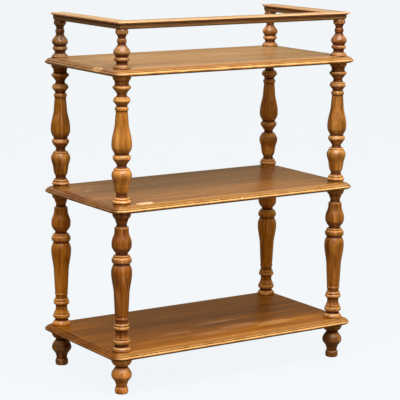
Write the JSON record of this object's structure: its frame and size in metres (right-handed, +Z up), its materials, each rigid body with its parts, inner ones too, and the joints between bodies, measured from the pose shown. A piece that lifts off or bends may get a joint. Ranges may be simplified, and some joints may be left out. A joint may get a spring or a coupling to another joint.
{
  "type": "console etagere",
  "caption": "Wooden console etagere: open shelves with moulded edges on turned feet and posts, and a gallery of short spindles under a mitred rail that leaves the front open.",
  "frame": {"origin": "middle of the plan on the floor that the feet stand on", "axes": "+X along the shelves to the right, +Y to the closed back of the gallery (the open front is -Y), +Z up"},
  "size_m": [0.787, 0.4154, 0.985],
  "materials": {
    "turned_wood": "waxed honey brown",
    "rail_wood": "waxed light honey",
    "top_shelf_wood": "waxed pale tan",
    "middle_shelf_wood": "waxed grey brown",
    "bottom_shelf_wood": "waxed warm brown"
  },
  "bodies": {
    "root": {"foot_front_left": "turned_wood", "foot_front_right": "turned_wood", "foot_back_left": "turned_wood", "foot_back_right": "turned_wood", "bottom_shelf": "bottom_shelf_wood", "lower_post_front_left": "turned_wood", "lower_post_front_right": "turned_wood", "lower_post_back_left": "turned_wood", "lower_post_back_right": "turned_wood", "middle_shelf": "middle_shelf_wood", "upper_post_front_left": "turned_wood", "upper_post_front_right": "turned_wood", "upper_post_back_left": "turned_wood", "upper_post_back_right": "turned_wood", "top_shelf": "top_shelf_wood", "gallery_spindle_front_left": "turned_wood", "gallery_spindle_front_right": "turned_wood", "gallery_spindle_back_left": "turned_wood", "gallery_spindle_back_right": "turned_wood", "gallery_rail_back": "rail_wood", "gallery_rail_left": "rail_wood", "gallery_rail_right": "rail_wood"}
  },
  "joints": []
}
